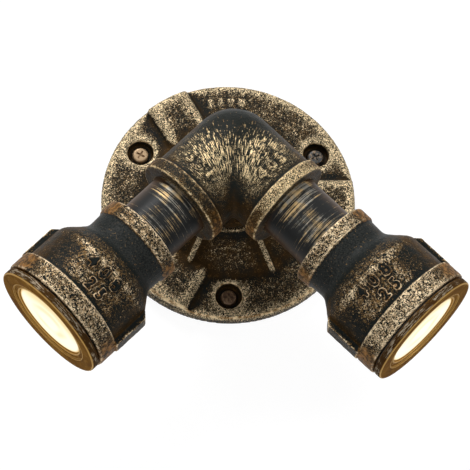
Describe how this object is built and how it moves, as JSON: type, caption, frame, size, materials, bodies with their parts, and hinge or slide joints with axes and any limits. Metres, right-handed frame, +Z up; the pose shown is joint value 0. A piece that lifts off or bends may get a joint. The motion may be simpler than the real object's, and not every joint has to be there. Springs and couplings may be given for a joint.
{
  "type": "pipe wall light",
  "caption": "Wall light of threaded iron pipe fittings: a round wall flange, a side outlet elbow and splayed pipe arms, each ending in a bell with a screw-in lamp.",
  "frame": {"origin": "centre of the flange's back face, where it meets the wall", "axes": "+X to the right as seen from the room, +Y into the wall, +Z up; the arms spread in a plane parallel to the wall, down and outwards at 45 degrees"},
  "size_m": [0.2251, 0.129, 0.1787],
  "materials": {
    "cast_iron": "dark bronze, rough cast, dry brushed with pale gold",
    "pipe_steel": "blackened, satin, with fine turned scratches",
    "screw_steel": "dull",
    "small_steel": "satin",
    "bush_nylon": "matt",
    "earth_brass": "satin",
    "block_nylon": "matt",
    "seal_rubber": "matt",
    "bezel_brass": "aged satin, turned",
    "lens_glass": "opal, lit from behind",
    "reflector_metal": "polished",
    "heat_sink_aluminium": "plain",
    "board_white": "white coated",
    "emitter_phosphor": "gloss",
    "driver_resin": "potted",
    "lead_red": "matt",
    "wire_brown": "matt",
    "wire_blue": "matt"
  },
  "bodies": {
    "wall_side": {"wall_flange": "cast_iron", "wall_screws": "screw_steel", "rear_nipple": "pipe_steel", "insulating_bush": "bush_nylon", "earth_screw": "earth_brass", "earth_washer": "earth_brass"},
    "elbow_group": {"side_outlet_elbow": "cast_iron", "terminal_block": "block_nylon", "terminal_screws": "small_steel", "left_nipple": "pipe_steel", "left_live_wire": "wire_brown", "left_neutral_wire": "wire_blue", "right_nipple": "pipe_steel", "right_live_wire": "wire_brown", "right_neutral_wire": "wire_blue"},
    "left_bell_group": {"left_bell_reducer": "cast_iron", "left_heat_sink": "heat_sink_aluminium", "left_led_board": "board_white", "left_led_emitter": "emitter_phosphor", "left_board_screws": "small_steel", "left_led_leads": "lead_red", "left_led_driver": "driver_resin"},
    "left_seal": {"left_bezel_seal": "seal_rubber"},
    "left_lamp": {"left_bezel_ring": "bezel_brass", "left_lens": "lens_glass", "left_lens_gasket": "seal_rubber", "left_reflector": "reflector_metal", "left_retaining_ring": "small_steel"},
    "right_bell_group": {"right_bell_reducer": "cast_iron", "right_heat_sink": "heat_sink_aluminium", "right_led_board": "board_white", "right_led_emitter": "emitter_phosphor", "right_board_screws": "small_steel", "right_led_leads": "lead_red", "right_led_driver": "driver_resin"},
    "right_seal": {"right_bezel_seal": "seal_rubber"},
    "right_lamp": {"right_bezel_ring": "bezel_brass", "right_lens": "lens_glass", "right_lens_gasket": "seal_rubber", "right_reflector": "reflector_metal", "right_retaining_ring": "small_steel"}
  },
  "joints": [
    {"name": "elbow_swivel", "type": "hinge", "parent": "wall_side", "child": "elbow_group", "pos_m": [0, -0.065, 0], "axis": [0, 1, 0], "range_deg": [-90, 90]},
    {"name": "left_bell_turn", "type": "hinge", "parent": "elbow_group", "child": "left_bell_group", "pos_m": [0, -0.065, 0], "axis": [-0.7071, 0, -0.7071], "range_deg": [-180, 180]},
    {"name": "left_bezel_out", "type": "slide", "parent": "left_bell_group", "child": "left_seal", "axis": [-0.7071, 0, -0.7071], "range_m": [0, 0.01105]},
    {"name": "left_bezel_unscrew", "type": "hinge", "parent": "left_seal", "child": "left_lamp", "pos_m": [0, -0.065, 0], "axis": [-0.7071, 0, -0.7071], "range_deg": [0, 1800]},
    {"name": "right_bell_turn", "type": "hinge", "parent": "elbow_group", "child": "right_bell_group", "pos_m": [0, -0.065, 0], "axis": [0.7071, 0, -0.7071], "range_deg": [-180, 180]},
    {"name": "right_bezel_out", "type": "slide", "parent": "right_bell_group", "child": "right_seal", "axis": [0.7071, 0, -0.7071], "range_m": [0, 0.01105]},
    {"name": "right_bezel_unscrew", "type": "hinge", "parent": "right_seal", "child": "right_lamp", "pos_m": [0, -0.065, 0], "axis": [0.7071, 0, -0.7071], "range_deg": [0, 1800]}
  ],
  "couplings": [
    {"joint": "left_bezel_out", "follows": "left_bezel_unscrew", "m_per_rad": 0.00035157},
    {"joint": "right_bezel_out", "follows": "right_bezel_unscrew", "m_per_rad": 0.00035157}
  ]
}
